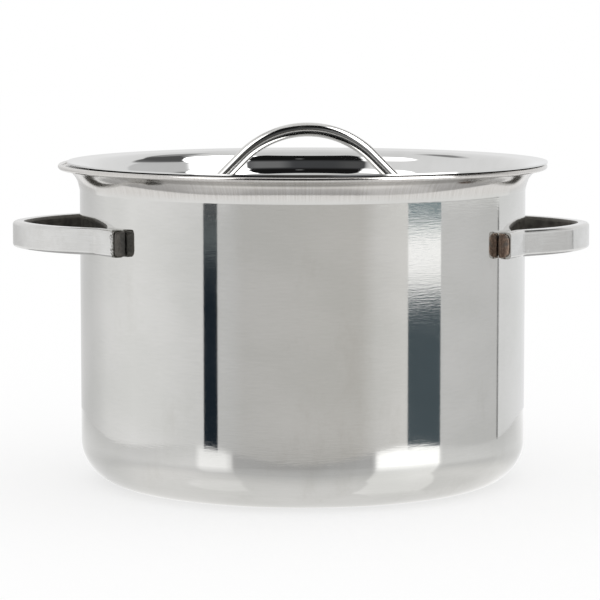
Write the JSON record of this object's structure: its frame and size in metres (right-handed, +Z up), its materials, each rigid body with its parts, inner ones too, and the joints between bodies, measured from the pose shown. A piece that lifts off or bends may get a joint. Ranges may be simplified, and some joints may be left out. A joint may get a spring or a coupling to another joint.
{
  "type": "stock pot",
  "caption": "Straight-walled steel cooking pot with flared rolled rim, two strap side handles and a dished drop-in lid with an arched rod handle.",
  "frame": {"origin": "centre of the flat base, on the surface that the pot stands on", "axes": "+X through the right side handle, +Z up out of the mouth"},
  "size_m": [0.312, 0.2634, 0.1932],
  "materials": {
    "satin_steel": "fine horizontal satin polish",
    "polished_steel": "mirror polish",
    "weld_metal": "rough, heat-tinted brown"
  },
  "bodies": {
    "pot": {"pot_body": "satin_steel", "left_handle": "polished_steel", "right_handle": "polished_steel", "left_handle_weld_front": "weld_metal", "left_handle_weld_back": "weld_metal", "right_handle_weld_front": "weld_metal", "right_handle_weld_back": "weld_metal"},
    "lid": {"lid_panel": "polished_steel", "lid_handle": "polished_steel", "lid_handle_weld_left": "weld_metal", "lid_handle_weld_right": "weld_metal"}
  },
  "joints": [
    {"name": "lid_lift", "type": "slide", "parent": "pot", "child": "lid", "axis": [0, 0, 1], "range_m": [0, 0.15]}
  ]
}
